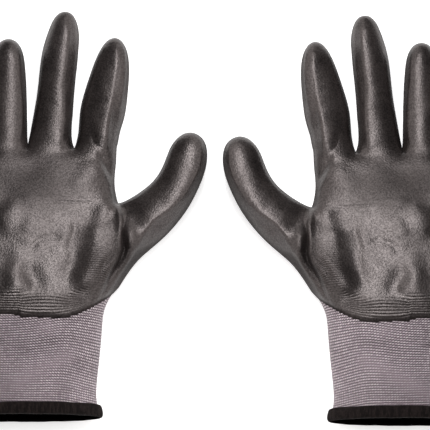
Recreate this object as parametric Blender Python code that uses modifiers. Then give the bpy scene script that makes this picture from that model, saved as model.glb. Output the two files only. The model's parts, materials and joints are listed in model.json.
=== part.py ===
"""A pair of palm-coated knitted work gloves, lying palm up side by side.

Metres, +Z up, fingers towards +Y. The origin is on the resting surface, midway between the gloves.
Each glove is a seamless knitted liner under a rubber coating, with a stretch cuff and an overlocked hem.
The liner and the coating are cut into stiff lengths at the creases where a glove folds, and every cut
lies on a hinge axis along the palm side of the fold, so a folding length opens at the back of the hand.
Glove coordinates have x = 0 on the middle of the cuff, with the thumb towards +x.
"""

import math

import bpy
from mathutils import Vector

# ---- driving dimensions of the pair
HALF_SPACING = 0.1140  # from the middle of the pair to the middle of each cuff
STAGGER = 0.0012  # the gloves lie this far up and down from level with each other

# ---- layers
LINER_WALL = 0.0010
COATING_WALL = 0.0005
GAP = 0.0003  # air between faces that touch on the real glove
BUILD_UP = GAP + COATING_WALL  # what the coating adds to each side of the liner
LINER_CUT = GAP / 2  # each side of a fold's cut is pulled back this far in the liner
COATING_CUT = 0.0004  # and this far in the coating, which is worn thin along its folds
HINGE_CLEARANCE = 0.0002  # how far a hinge axis stands off the coating

# ---- sections
FINGER_SIDES = 8
THUMB_SIDES = 10
PALM_COLUMNS = (-0.93, -0.74, -0.50, -0.26, 0.0, 0.26, 0.50, 0.74, 0.93)  # share of the half width
FLAT_SHARE = 0.5  # the back of the hand is pressed flat this far out from its middle
PALM_POWER = 2.6  # superellipse power of the palm's section
CUFF_POWER = 2.2

# ---- palm: y, left edge, right edge, underside, top, power of the section
PALM_ROWS = (
    (-0.0618, -0.0464, 0.0464, 0.0014, 0.0386, CUFF_POWER),
    (-0.0470, -0.0475, 0.0512, 0.0, 0.0380, PALM_POWER),
    (-0.0370, -0.0485, 0.0580, 0.0, 0.0375, PALM_POWER),
    (-0.0240, -0.0500, 0.0590, 0.0, 0.0365, PALM_POWER),
    (-0.0100, -0.0505, 0.0570, 0.0, 0.0350, PALM_POWER),
    (0.0060, -0.0505, 0.0545, 0.0, 0.0335, PALM_POWER),
    (0.0200, -0.0500, 0.0510, 0.0, 0.0310, PALM_POWER),
    (0.0315, -0.0485, 0.0530, 0.0010, 0.0280, PALM_POWER),
)
THUMB_ROWS = (2, 3, 4, 5)  # the palm rows that the thumb's root spans
DIP_LOWEST = -0.0603  # the coating's edge at the middle of the wrist
DIP_RISE = 0.0110  # how much higher that edge is at the sides
DIP_POWER = 3.0

# ---- fingers, little finger first. root is the middle of the base, lean is from +Y towards the thumb
# stations: distance along the finger, half width and half thickness over the coating, height of the middle
FINGERS = {
    "little": {
        "root": (-0.0362, 0.0370),
        "lean": -8.0,
        "stations": (
            (0.0060, 0.0098, 0.0092, 0.0130),
            (0.0150, 0.0096, 0.0090, 0.0130),
            (0.0240, 0.0095, 0.0088, 0.0130),
            (0.0340, 0.0089, 0.0084, 0.0132),
            (0.0420, 0.0076, 0.0074, 0.0136),
            (0.0470, 0.0048, 0.0048, 0.0138),
        ),
        "tip": 0.0490,
    },
    "ring": {
        "root": (-0.0108, 0.0420),
        "lean": 0.0,
        "stations": (
            (0.0060, 0.0119, 0.0103, 0.0132),
            (0.0170, 0.0119, 0.0102, 0.0132),
            (0.0290, 0.0116, 0.0099, 0.0133),
            (0.0430, 0.0106, 0.0094, 0.0137),
            (0.0540, 0.0094, 0.0086, 0.0142),
            (0.0610, 0.0058, 0.0055, 0.0146),
        ),
        "tip": 0.0640,
    },
    "middle": {
        "root": (0.0151, 0.0425),
        "lean": 6.3,
        "stations": (
            (0.0060, 0.0121, 0.0106, 0.0134),
            (0.0190, 0.0113, 0.0103, 0.0134),
            (0.0310, 0.0106, 0.0100, 0.0135),
            (0.0560, 0.0104, 0.0095, 0.0140),
            (0.0690, 0.0086, 0.0082, 0.0148),
            (0.0770, 0.0052, 0.0050, 0.0154),
        ),
        "tip": 0.0800,
    },
    "index": {
        "root": (0.0436, 0.0425),
        "lean": 10.0,
        "stations": (
            (0.0060, 0.0119, 0.0104, 0.0134),
            (0.0180, 0.0129, 0.0104, 0.0134),
            (0.0290, 0.0125, 0.0102, 0.0135),
            (0.0430, 0.0106, 0.0094, 0.0139),
            (0.0550, 0.0082, 0.0080, 0.0145),
            (0.0620, 0.0046, 0.0046, 0.0150),
        ),
        "tip": 0.0650,
    },
}
KNUCKLE_STATION = 0  # the station that the finger's base folds at
MIDDLE_STATION = 2  # the station that its middle folds at

# ---- thumb: middle of the section, which way it faces from +X, half width and half thickness
THUMB_RINGS = (
    (0.0612, -0.0103, 0.0185, 18.0, 0.0176, 0.0142),
    (0.0695, -0.0035, 0.0186, 42.0, 0.0150, 0.0128),
    (0.0795, 0.0045, 0.0188, 46.0, 0.0136, 0.0118),
    (0.0872, 0.0135, 0.0190, 53.0, 0.0126, 0.0112),
    (0.0926, 0.0235, 0.0193, 63.0, 0.0118, 0.0107),
    (0.0964, 0.0345, 0.0198, 73.0, 0.0110, 0.0100),
    (0.0984, 0.0438, 0.0202, 78.0, 0.0084, 0.0078),
    (0.0990, 0.0476, 0.0204, 80.0, 0.0050, 0.0048),
)
THUMB_TIP = (0.0994, 0.0495, 0.0205)
THUMB_BASE_RING = 1
THUMB_MIDDLE_RING = 3
THUMB_ROLL = 30.0  # the thumb folds this far round towards the palm from straight up

# ---- webs between the fingers: x, y and the height of the middle, little finger's first
WEBS = ((-0.0238, 0.0370, 0.0130), (0.0014, 0.0410, 0.0132), (0.0301, 0.0398, 0.0134))
WEB_TOP = 0.0092  # how far the web's palm and back edges stand from its middle
WEB_SET_BACK = 0.0016  # and how far they lie behind it
OUTER_SET_BACK = 0.0030  # how far the hand's edge at the little finger lies behind its root
SHOULDER = 0.72  # how far out the hand's two rounded edges stand at the roots of its outer fingers

# ---- cuff: y, half width, underside, top, all of the knit's outer face
CUFF_ROWS = (
    (-0.0621, 0.0464, 0.0014, 0.0386),
    (-0.0780, 0.0450, 0.0014, 0.0380),
    (-0.0925, 0.0433, 0.0014, 0.0376),
    (-0.1065, 0.0424, 0.0013, 0.0376),
    (-0.1190, 0.0458, 0.0012, 0.0388),
)
CUFF_WALL = 0.0012
HEM_WALL = 0.0008
HEM_TOP = -0.1160
HEM_BOTTOM = -0.1230
HEM_ROUND = 0.0007  # the hem's corners
ELASTIC_RADIUS = 0.0004
ELASTIC_TURNS = 7
ELASTIC_FROM = -0.0660
ELASTIC_TO = -0.1130

# ---- materials: colour, roughness
MATERIALS = {
    "knit": ((0.30, 0.27, 0.30), 0.85),
    "coating": ((0.030, 0.027, 0.027), 0.45),
    "hem_thread": ((0.012, 0.011, 0.011), 0.80),
    "elastic": ((0.45, 0.43, 0.44), 0.60),
}


class Skin:
    """Corners and quads of the liner's outer face. A quad is coated or bare."""

    def __init__(self):
        self.corners = []
        self.faces = []
        self.coated = []

    def corner(self, point):
        self.corners.append(Vector(point))
        return len(self.corners) - 1

    def ring(self, points):
        return [self.corner(p) for p in points]

    def face(self, corners, coated):
        self.faces.append(tuple(corners))
        self.coated.append(coated)

    def quad(self, low, high, side, coated):
        """One quad between two rings that run the same way round."""
        after = (side + 1) % len(low)
        self.face((low[after], low[side], high[side], high[after]), coated)

    def band(self, low, high, bare_sides=()):
        for side in range(len(low)):
            self.quad(low, high, side, side not in bare_sides)

    def cap(self, ring, tip):
        count = len(ring)
        for i in range(count):
            self.face((ring[(i + 1) % count], ring[i], tip), True)


def clear_scene():
    for obj in list(bpy.data.objects):
        bpy.data.objects.remove(obj)


def make_material(name):
    colour, roughness = MATERIALS[name]
    material = bpy.data.materials.new(name)
    material.use_nodes = True
    shader = material.node_tree.nodes["Principled BSDF"]
    shader.inputs["Base Color"].default_value = (*colour, 1.0)
    shader.inputs["Roughness"].default_value = roughness
    shader.inputs["Metallic"].default_value = 0.0
    return material


def rim_height(share, power):
    """How high a superellipse stands at this share of its half width, as a share of its half height."""
    return (1 - min(1.0, abs(share)) ** power) ** (1 / power)


# ---- sections
def flat_section(y, left, right, low, high, power, flat=False):
    """A section of the palm or the cuff: thumb side, across the top, little finger side, across the back."""
    middle_x, half_width = (left + right) / 2, (right - left) / 2
    middle_z, half_height = (low + high) / 2, (high - low) / 2

    def point(share, side):
        rise = half_height * rim_height(share, power)
        z = middle_z + side * rise
        if side < 0 and flat and abs(share) <= FLAT_SHARE:
            z = low
        return Vector((middle_x + share * half_width, y, z))

    top = [point(c, 1) for c in reversed(PALM_COLUMNS)]
    back = [point(c, -1) for c in PALM_COLUMNS]
    return [Vector((right, y, middle_z)), *top, Vector((left, y, middle_z)), *back]


def oval_section(middle, facing, half_width, half_height, sides):
    """A section of a finger that points along facing, from its right side over its palm side."""
    across = Vector((facing.y, -facing.x, 0.0)) * half_width
    up = Vector((0.0, 0.0, half_height))
    angles = [2 * math.pi * i / sides for i in range(sides)]
    return [middle + across * math.cos(a) + up * math.sin(a) for a in angles]


def finger_facing(finger):
    lean = math.radians(FINGERS[finger]["lean"])
    return Vector((math.sin(lean), math.cos(lean), 0.0))


def finger_section(finger, station, shift=0.0):
    """A finger's section at a station."""
    data = FINGERS[finger]
    along, half_width, half_height, height = data["stations"][station]
    facing = finger_facing(finger)
    middle = Vector((*data["root"], height)) + facing * (along + shift)
    return oval_section(
        middle, facing, half_width - BUILD_UP, half_height - BUILD_UP, FINGER_SIDES
    )


def thumb_facing(ring):
    turn = math.radians(THUMB_RINGS[ring][3])
    return Vector((math.cos(turn), math.sin(turn), 0.0))


def thumb_section(ring, shift=0.0):
    """A thumb's section at one of its rings."""
    x, y, z, _, half_width, half_height = THUMB_RINGS[ring]
    facing = thumb_facing(ring)
    middle = Vector((x, y, z)) + facing * shift
    return oval_section(
        middle, facing, half_width - BUILD_UP, half_height - BUILD_UP, THUMB_SIDES
    )


# ---- hinge axes
def hinge(points, facing, roll=0.0):
    """A point on the fold's axis and its direction. The axis touches the section on the side it folds to."""
    across = Vector((facing.y, -facing.x, 0.0))
    roll = math.radians(roll)
    axis = (across * math.cos(roll) + Vector((0, 0, math.sin(roll)))).normalized()
    bend = axis.cross(facing)
    middle = sum(points, Vector()) / len(points)
    reach = max((p - middle).dot(bend) for p in points)
    return middle + bend * (reach + BUILD_UP + HINGE_CLEARANCE), axis


def hinges():
    """{joint: (point, axis)} in glove coordinates."""
    found = {}
    for finger in FINGERS:
        facing = finger_facing(finger)
        for joint, station in (("knuckle", KNUCKLE_STATION), ("middle", MIDDLE_STATION)):
            found[f"{finger}_{joint}"] = hinge(finger_section(finger, station), facing)
    for joint, ring in (("base", THUMB_BASE_RING), ("middle", THUMB_MIDDLE_RING)):
        found[f"thumb_{joint}"] = hinge(thumb_section(ring), thumb_facing(ring), THUMB_ROLL)
    y, left, right, low, high, power = PALM_ROWS[0]
    wrist = flat_section(y - LINER_CUT, left, right, low, high, power)
    found["wrist"] = hinge(wrist, Vector((0.0, -1.0, 0.0)))
    return found


# ---- skins
FINGER_BARE = (5, 6)  # the two sides of a finger on the back of the hand
THUMB_BARE = (6, 7, 8)


def palm_skin(cut):
    """The hand from the wrist to the first sections of the fingers and the thumb."""
    skin = Skin()
    side_plus, side_minus = 0, len(PALM_COLUMNS) + 1
    rows = []
    for i, (y, left, right, low, high, power) in enumerate(PALM_ROWS):
        inset = 0.0 if i == 0 else BUILD_UP
        top = high if i == 0 else high - BUILD_UP
        rows.append(
            skin.ring(flat_section(y, left + inset, right - inset, low, top, power, flat=low == 0.0))
        )
    hole_low, hole_high = THUMB_ROWS[0], THUMB_ROWS[-1]
    count = len(rows[0])
    back = range(side_minus + 1, count - 1)
    for r in range(len(rows) - 1):
        low, high = rows[r], rows[r + 1]
        for i in range(count):
            beside_thumb = hole_low <= r < hole_high and side_plus in (i, (i + 1) % count)
            if not beside_thumb:
                skin.quad(low, high, i, i not in back)
    base = finger_bases(skin)
    skin.band(rows[-1], base, back)
    add_finger_stubs(skin, base, cut)
    add_thumb_stub(skin, rows, cut)
    return skin


def finger_bases(skin):
    """The row of corners that the fingers grow from, in the order of a palm section."""
    fingers = list(FINGERS)
    tops, backs = [], []
    for k, finger in enumerate(fingers):
        data = FINGERS[finger]
        _, half_width, half_height, height = data["stations"][KNUCKLE_STATION]
        middle = Vector((*data["root"], height))
        rise = Vector((0, 0, half_height - BUILD_UP))
        slope = Vector((half_width, 0, half_height)) * SHOULDER
        if k == 0:
            tops.append(middle + Vector((-slope.x, -OUTER_SET_BACK, slope.z)))
            backs.append(middle + Vector((-slope.x, -OUTER_SET_BACK, -slope.z)))
        tops.append(middle + rise)
        backs.append(middle - rise)
        if k < len(WEBS):
            x, y, z = WEBS[k]
            tops.append(Vector((x, y - WEB_SET_BACK, z + WEB_TOP)))
            backs.append(Vector((x, y - WEB_SET_BACK, z - WEB_TOP)))
        else:
            tops.append(middle + slope)
            backs.append(middle + Vector((slope.x, 0, -slope.z)))
    outer = base_side(fingers[0], -1.0, -OUTER_SET_BACK)
    inner = base_side(fingers[-1], 1.0, 0.0)
    return skin.ring([inner, *reversed(tops), outer, *backs])


def base_side(finger, side, back):
    """The side corner of the hand beside the root of its first or last finger."""
    x, y = FINGERS[finger]["root"]
    _, half_width, _, height = FINGERS[finger]["stations"][KNUCKLE_STATION]
    return Vector((x + side * (half_width - BUILD_UP), y + back, height))


def add_finger_stubs(skin, base, cut):
    """The first length of each finger, up to the knuckle fold."""
    columns = len(PALM_COLUMNS)
    top = base[1 : columns + 1][::-1]  # little finger's side first
    back = base[columns + 2 :]
    side_plus, side_minus = base[0], base[columns + 1]
    webs = [skin.corner(w) for w in WEBS]
    beside = [side_minus, *webs, side_plus]
    for k, finger in enumerate(FINGERS):
        a, b, c = 2 * k, 2 * k + 1, 2 * k + 2
        low = [beside[k + 1], top[c], top[b], top[a], beside[k], back[a], back[b], back[c]]
        high = skin.ring(finger_section(finger, KNUCKLE_STATION, -cut))
        skin.band(low, high, FINGER_BARE)


def add_thumb_stub(skin, rows, cut):
    """The thumb's root, from the side of the palm up to its base fold."""
    columns = len(PALM_COLUMNS)
    palm_edge = [rows[r][1] for r in THUMB_ROWS]
    back_edge = [rows[r][2 * columns + 1] for r in reversed(THUMB_ROWS)]
    low = [rows[THUMB_ROWS[0]][0], *palm_edge, rows[THUMB_ROWS[-1]][0], *back_edge]
    for ring in range(THUMB_BASE_RING + 1):
        shift = -cut if ring == THUMB_BASE_RING else 0.0
        high = skin.ring(thumb_section(ring, shift))
        skin.band(low, high, THUMB_BARE)
        low = high


def tube_skin(sections, bare, tip=None):
    """A length of a finger. With a tip it is closed, and its last band is coated all round."""
    skin = Skin()
    low = skin.ring(sections[0])
    for i, section in enumerate(sections[1:]):
        high = skin.ring(section)
        last = tip is not None and i >= len(sections) - 3
        skin.band(low, high, () if last else bare)
        low = high
    if tip is not None:
        skin.cap(low, skin.corner(tip))
    return skin


def finger_skins(finger, cut):
    """The two lengths of a finger beyond its knuckle fold."""
    data = FINGERS[finger]
    last = len(data["stations"]) - 1
    facing = finger_facing(finger)
    tip = Vector((*data["root"], data["stations"][last][3])) + facing * (data["tip"] - BUILD_UP)
    near = [
        finger_section(finger, KNUCKLE_STATION, cut),
        *(finger_section(finger, s) for s in range(KNUCKLE_STATION + 1, MIDDLE_STATION)),
        finger_section(finger, MIDDLE_STATION, -cut),
    ]
    far = [
        finger_section(finger, MIDDLE_STATION, cut),
        *(finger_section(finger, s) for s in range(MIDDLE_STATION + 1, last + 1)),
    ]
    return tube_skin(near, FINGER_BARE), tube_skin(far, FINGER_BARE, tip)


def thumb_skins(cut):
    """The two lengths of the thumb beyond its base fold."""
    last = len(THUMB_RINGS) - 1
    near = [
        thumb_section(THUMB_BASE_RING, cut),
        *(thumb_section(r) for r in range(THUMB_BASE_RING + 1, THUMB_MIDDLE_RING)),
        thumb_section(THUMB_MIDDLE_RING, -cut),
    ]
    far = [
        thumb_section(THUMB_MIDDLE_RING, cut),
        *(thumb_section(r) for r in range(THUMB_MIDDLE_RING + 1, last + 1)),
    ]
    return tube_skin(near, THUMB_BARE), tube_skin(far, THUMB_BARE, Vector(THUMB_TIP))


def lengths_of(finger, cut):
    return thumb_skins(cut) if finger == "thumb" else finger_skins(finger, cut)


# ---- solids
def add_wall(obj, wall, stand_off):
    """Thickens an open surface inwards or, with a stand-off, outwards from that far outside it."""
    shell = obj.modifiers.new("wall", "SOLIDIFY")
    shell.thickness = wall
    shell.offset = 1.0 + 2 * stand_off / wall if stand_off else -1.0
    shell.use_even_offset = True


def skin_mesh(name, skin, origin, coated_only=False):
    faces = [f for f, coated in zip(skin.faces, skin.coated) if coated or not coated_only]
    used = sorted({i for f in faces for i in f})
    new_index = {old: new for new, old in enumerate(used)}
    mesh = bpy.data.meshes.new(name)
    corners = [tuple(skin.corners[i] - origin) for i in used]
    mesh.from_pydata(corners, [], [tuple(new_index[i] for i in f) for f in faces])
    mesh.update()
    mesh.shade_smooth()
    return mesh


def raise_dip_line(skin):
    """Moves the palm's lowest corners up to the curved line that the hand was dipped to."""
    count = 2 * len(PALM_COLUMNS) + 2
    wrist_y, wrist_edge = PALM_ROWS[0][0], PALM_ROWS[0][2]
    for i in range(count):
        low, high = skin.corners[i], skin.corners[i + count]
        share = min(1.0, abs(low.x) / wrist_edge)
        y = DIP_LOWEST + DIP_RISE * share**DIP_POWER
        skin.corners[i] = low.lerp(high, (y - wrist_y) / (PALM_ROWS[1][0] - wrist_y))


def cuff_section(row, inset=0.0):
    y, half_width, low, high = row
    return flat_section(
        y, -half_width + inset, half_width - inset, low + inset, high - inset, CUFF_POWER
    )


def cuff_row_at(y):
    """The cuff's outer face at any height, read between its rows."""
    for upper, lower in zip(CUFF_ROWS, CUFF_ROWS[1:]):
        if lower[0] <= y <= upper[0]:
            share = (upper[0] - y) / (upper[0] - lower[0])
            return tuple(a + (b - a) * share for a, b in zip(upper, lower))
    return CUFF_ROWS[-1]


def ring_mesh(name, rings, origin):
    """A closed tube of rings, whose last ring meets the first."""
    skin = Skin()
    made = [skin.ring(r) for r in rings]
    for low, high in zip(made, [*made[1:], made[0]]):
        skin.band(low, high)
    return skin_mesh(name, skin, origin)


def cuff_mesh(name, origin):
    outer = [cuff_section(row) for row in reversed(CUFF_ROWS)]
    inner = [cuff_section(row, CUFF_WALL) for row in CUFF_ROWS]
    return ring_mesh(name, [*outer, *inner], origin)


def hem_mesh(name, origin):
    """A folded-over edge of thread: a channel, open upwards, that holds the end of the knit."""
    outside = -(GAP + HEM_WALL)
    inside = CUFF_WALL + GAP + HEM_WALL
    slot_bottom = CUFF_ROWS[-1][0] - GAP

    def ring(y, inset):
        _, half_width, low, high = cuff_row_at(max(y, CUFF_ROWS[-1][0]))
        return cuff_section((y, half_width, low, high), inset)

    rings = [
        ring(HEM_BOTTOM, outside + HEM_ROUND),
        ring(HEM_BOTTOM + HEM_ROUND, outside),
        ring(HEM_TOP, outside),
        ring(HEM_TOP, -GAP),
        ring(slot_bottom, -GAP),
        ring(slot_bottom, CUFF_WALL + GAP),
        ring(HEM_TOP, CUFF_WALL + GAP),
        ring(HEM_TOP, inside),
        ring(HEM_BOTTOM + HEM_ROUND, inside),
        ring(HEM_BOTTOM, inside - HEM_ROUND),
    ]
    return ring_mesh(name, rings, origin)


def elastic_curve(name, origin):
    """The stretch yarn, wound as one helix just inside the cuff."""
    per_turn = 2 * len(PALM_COLUMNS) + 2
    count = per_turn * ELASTIC_TURNS + 1
    inset = CUFF_WALL + GAP + ELASTIC_RADIUS
    curve = bpy.data.curves.new(name, "CURVE")
    curve.dimensions = "3D"
    curve.bevel_depth = ELASTIC_RADIUS
    curve.bevel_resolution = 0
    curve.use_fill_caps = True
    spline = curve.splines.new("POLY")
    spline.points.add(count - 1)
    for i in range(count):
        y = ELASTIC_FROM + (ELASTIC_TO - ELASTIC_FROM) * i / (count - 1)
        _, half_width, low, high = cuff_row_at(y)
        point = cuff_section((y, half_width, low, high), inset)[i % per_turn] - origin
        spline.points[i].co = (*point, 1.0)
    return curve


# ---- assembly
def place(name, data, material, parent, collection, wall, stand_off):
    obj = bpy.data.objects.new(name, data)
    if not obj.data.materials:
        obj.data.materials.append(material)
    collection.objects.link(obj)
    obj.parent = parent
    if wall:
        add_wall(obj, wall, stand_off)
    return obj


def add_empty(name, location, parent, collection):
    empty = bpy.data.objects.new(name, None)
    empty.location = location
    empty.parent = parent
    collection.objects.link(empty)
    return empty


def glove_meshes(axes):
    """{part: (mesh or curve, material, joint that carries it, wall, stand-off)}, shared by both gloves."""
    nowhere = Vector()
    dipped = palm_skin(COATING_CUT)
    raise_dip_line(dipped)
    liner = skin_mesh("hand_liner", palm_skin(LINER_CUT), nowhere)
    coating = skin_mesh("palm_coating", dipped, nowhere, coated_only=True)
    wrist = axes["wrist"][0]
    found = {
        "hand_liner": (liner, "knit", None, LINER_WALL, 0.0),
        "palm_coating": (coating, "coating", None, COATING_WALL, GAP),
        "knit_cuff": (cuff_mesh("knit_cuff", wrist), "knit", "wrist", None, 0.0),
        "hem_overlock": (hem_mesh("hem_overlock", wrist), "hem_thread", "wrist", None, 0.0),
        "cuff_elastic": (elastic_curve("cuff_elastic", wrist), "elastic", "wrist", None, 0.0),
    }
    for finger in (*FINGERS, "thumb"):
        bare, dipped = lengths_of(finger, LINER_CUT), lengths_of(finger, COATING_CUT)
        joints = ("base", "middle") if finger == "thumb" else ("knuckle", "middle")
        for i, (joint, length) in enumerate(zip(joints, ("lower", "tip"))):
            carrier = f"{finger}_{joint}"
            origin = axes[carrier][0]
            part = f"{finger}_{length}"
            liner = skin_mesh(f"{part}_liner", bare[i], origin)
            coating = skin_mesh(f"{part}_coating", dipped[i], origin, coated_only=True)
            found[f"{part}_liner"] = (liner, "knit", carrier, LINER_WALL, 0.0)
            found[f"{part}_coating"] = (coating, "coating", carrier, COATING_WALL, GAP)
    return found


def add_glove(side, mirrored, axes, meshes, materials, collection):
    x = HALF_SPACING if mirrored else -HALF_SPACING
    y = -STAGGER if mirrored else STAGGER
    glove = add_empty(f"{side}_glove", (x, y, 0.0), None, collection)
    if mirrored:
        glove.scale.x = -1.0
    carriers = {None: glove}
    for joint, (point, _) in axes.items():
        finger = joint.rsplit("_", 1)[0]
        near = f"{finger}_base" if finger == "thumb" else f"{finger}_knuckle"
        beyond = joint.endswith("_middle")
        parent = carriers[near] if beyond else glove
        start = axes[near][0] if beyond else Vector()
        carriers[joint] = add_empty(f"{side}_{joint}_joint", point - start, parent, collection)
    for part, (data, material, carrier, wall, stand_off) in meshes.items():
        name, parent = f"{side}_{part}", carriers[carrier]
        place(name, data, materials[material], parent, collection, wall, stand_off)


def main():
    clear_scene()
    collection = bpy.data.collections.new("work_gloves")
    bpy.context.scene.collection.children.link(collection)
    materials = {name: make_material(name) for name in MATERIALS}
    axes = hinges()
    meshes = glove_meshes(axes)
    add_glove("right", False, axes, meshes, materials, collection)
    add_glove("left", True, axes, meshes, materials, collection)


main()
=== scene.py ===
"""A pair of palm-coated knitted work gloves, palms up, drawn over the CAD part.

The right-hand glove is shaped in millimetres, with x = 0 on the middle of the cuff and the thumb
towards +x. The left-hand glove is its mirror image. Each glove is one subdivided surface. It is drawn
twice, as the knit and as the coating that stands just off it, and the coating's edge dips under the
knit. Both are cut into pieces at rings that lie between the folds.
"""

import json
import math

import bpy
import numpy as np
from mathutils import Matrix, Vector


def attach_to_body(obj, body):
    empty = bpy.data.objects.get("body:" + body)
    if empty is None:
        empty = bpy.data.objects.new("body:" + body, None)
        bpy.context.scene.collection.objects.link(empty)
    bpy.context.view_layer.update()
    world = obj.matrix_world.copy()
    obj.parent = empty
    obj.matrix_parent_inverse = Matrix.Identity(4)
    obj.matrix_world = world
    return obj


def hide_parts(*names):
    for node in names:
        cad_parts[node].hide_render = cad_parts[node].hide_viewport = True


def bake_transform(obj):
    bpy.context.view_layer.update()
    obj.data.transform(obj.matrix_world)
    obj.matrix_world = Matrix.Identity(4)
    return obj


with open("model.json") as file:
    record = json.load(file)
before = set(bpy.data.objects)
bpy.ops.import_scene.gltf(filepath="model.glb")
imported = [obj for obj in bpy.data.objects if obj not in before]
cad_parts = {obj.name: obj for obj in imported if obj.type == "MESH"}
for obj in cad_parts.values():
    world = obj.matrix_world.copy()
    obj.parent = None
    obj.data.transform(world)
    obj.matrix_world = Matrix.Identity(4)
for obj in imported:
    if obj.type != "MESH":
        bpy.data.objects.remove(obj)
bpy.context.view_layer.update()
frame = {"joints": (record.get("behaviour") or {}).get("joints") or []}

MM = 0.001
SPACING = 114.0  # from the middle of the pair to the middle of each cuff
STAGGER = 1.2  # the right-hand glove lies this much up from the middle, the left-hand one down
TILT = math.radians(10)  # the camera leans this far towards the wrists from straight above
LENGTHEN = 1 / math.cos(TILT)  # lengths along the glove are written as seen at that tilt
PLAN_Z = 15.0  # height of the plane that plan measurements are read on
LEVELS = 4

# ---- hand and cuff rows: y, left edge, right edge, underside, top, power of the section
ROWS = (
    (-137.0, -46.0, 46.0, 2.6, 38.0, 2.2),
    (-127.0, -45.6, 45.6, 2.6, 37.8, 2.2),
    (-117.5, -45.2, 45.2, 2.6, 37.6, 2.2),
    (-110.0, -43.2, 43.2, 2.0, 37.2, 2.2),
    (-101.5, -43.4, 43.4, 1.6, 37.0, 2.2),
    (-89.0, -44.8, 44.8, 1.4, 36.8, 2.2),
    (-77.0, -46.0, 46.0, 1.2, 36.8, 2.3),
    (-66.0, -46.8, 46.8, 0.8, 37.4, 2.4),
    (-56.0, -46.8, 47.3, 0.4, 38.2, 2.5),
    (-47.0, -47.6, 52.4, 0.2, 38.2, 2.6),
    (-37.0, -48.6, 58.8, 0.1, 37.6, 2.6),
    (-24.0, -50.0, 59.4, 0.1, 36.6, 2.6),
    (-10.0, -50.6, 57.4, 0.1, 35.2, 2.6),
    (6.0, -50.6, 54.6, 0.1, 33.4, 2.6),
    (20.0, -50.0, 51.6, 0.3, 31.0, 2.6),
    (31.5, -48.6, 53.4, 1.2, 28.2, 2.6),
)
COLUMNS = (-0.93, -0.74, -0.50, -0.26, 0.0, 0.26, 0.50, 0.74, 0.93)  # shares of the half width
EVEN_ROW = 4  # the stitches are spaced evenly round this row
FIRST_HAND_ROW = 6  # the rows before it are the cuff's
THUMB_ROWS = (10, 11, 12, 13)
ROW_SHRINK = 0.977  # a subdivided row comes out this much narrower than its cage
FLAT_POWER = 2.45  # squarer rows than this lie flat on the ground
FLAT_SHARE = 0.55  # over this share of their half width
EDGE_ROUND = 0.75  # distance round a row's edge, as a share of its half height
CROWNING = 0.18  # how much further it is to a row's edge over the palm than straight across

# ---- fingers: root in plan, lean from +y towards +x in degrees, distance to the tip, and stations of
# (distance, sideways, half width, half thickness, height)
FINGERS = {
    "little": {
        "root": (-36.2, 37.0),
        "lean": -8.0,
        "stations": (
            (4.0, 0.0, 10.3, 9.4, 13.0),
            (12.0, 0.0, 9.9, 9.2, 13.0),
            (21.0, 0.0, 9.7, 8.9, 13.0),
            (30.0, 0.0, 9.3, 8.5, 13.1),
            (38.0, 0.0, 8.5, 7.9, 13.4),
            (44.0, 0.0, 6.9, 6.7, 13.7),
            (47.6, 0.0, 4.2, 4.2, 13.8),
        ),
        "tip": 49.2,
    },
    "ring": {
        "root": (-10.8, 42.0),
        "lean": 0.0,
        "stations": (
            (3.0, -0.6, 11.2, 10.6, 13.2),
            (10.0, -0.6, 11.0, 10.3, 13.2),
            (19.0, -0.5, 10.9, 10.2, 13.2),
            (29.0, -0.4, 10.5, 9.9, 13.3),
            (39.0, -0.3, 10.0, 9.5, 13.6),
            (48.0, -0.2, 9.2, 8.9, 14.0),
            (56.0, 0.0, 8.1, 7.7, 14.4),
            (62.0, 0.2, 5.2, 5.1, 14.7),
        ),
        "tip": 65.2,
    },
    "middle": {
        "root": (15.1, 42.5),
        "lean": 6.0,
        "stations": (
            (3.0, -0.4, 11.6, 10.9, 13.4),
            (10.0, -0.7, 10.8, 10.6, 13.4),
            (19.5, -0.5, 10.4, 10.3, 13.4),
            (29.0, -0.4, 9.8, 10.0, 13.5),
            (40.0, -0.5, 9.7, 9.8, 13.8),
            (51.0, -0.6, 9.8, 9.5, 14.0),
            (60.0, -0.3, 9.3, 8.9, 14.4),
            (68.5, 0.5, 8.2, 7.9, 14.8),
            (75.5, 0.4, 6.2, 6.1, 15.2),
            (79.4, 0.4, 3.6, 3.8, 15.4),
        ),
        "tip": 81.0,
    },
    "index": {
        "root": (42.6, 42.5),
        "lean": 10.0,
        "stations": (
            (3.5, 0.4, 10.9, 10.5, 13.4),
            (10.5, -0.1, 11.0, 10.4, 13.4),
            (18.5, 0.0, 12.2, 10.4, 13.4),
            (26.0, 0.2, 12.3, 10.3, 13.5),
            (35.0, 0.3, 11.3, 10.0, 13.7),
            (44.0, 0.6, 10.3, 9.4, 13.9),
            (52.0, 0.6, 8.9, 8.4, 14.3),
            (58.5, 0.6, 6.9, 6.5, 14.8),
            (63.2, 0.2, 4.2, 4.0, 15.0),
        ),
        "tip": 66.2,
    },
}
FINGER_SIDES = 8
FINGER_SPLIT = 2  # the last station of each finger's lower length

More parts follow.
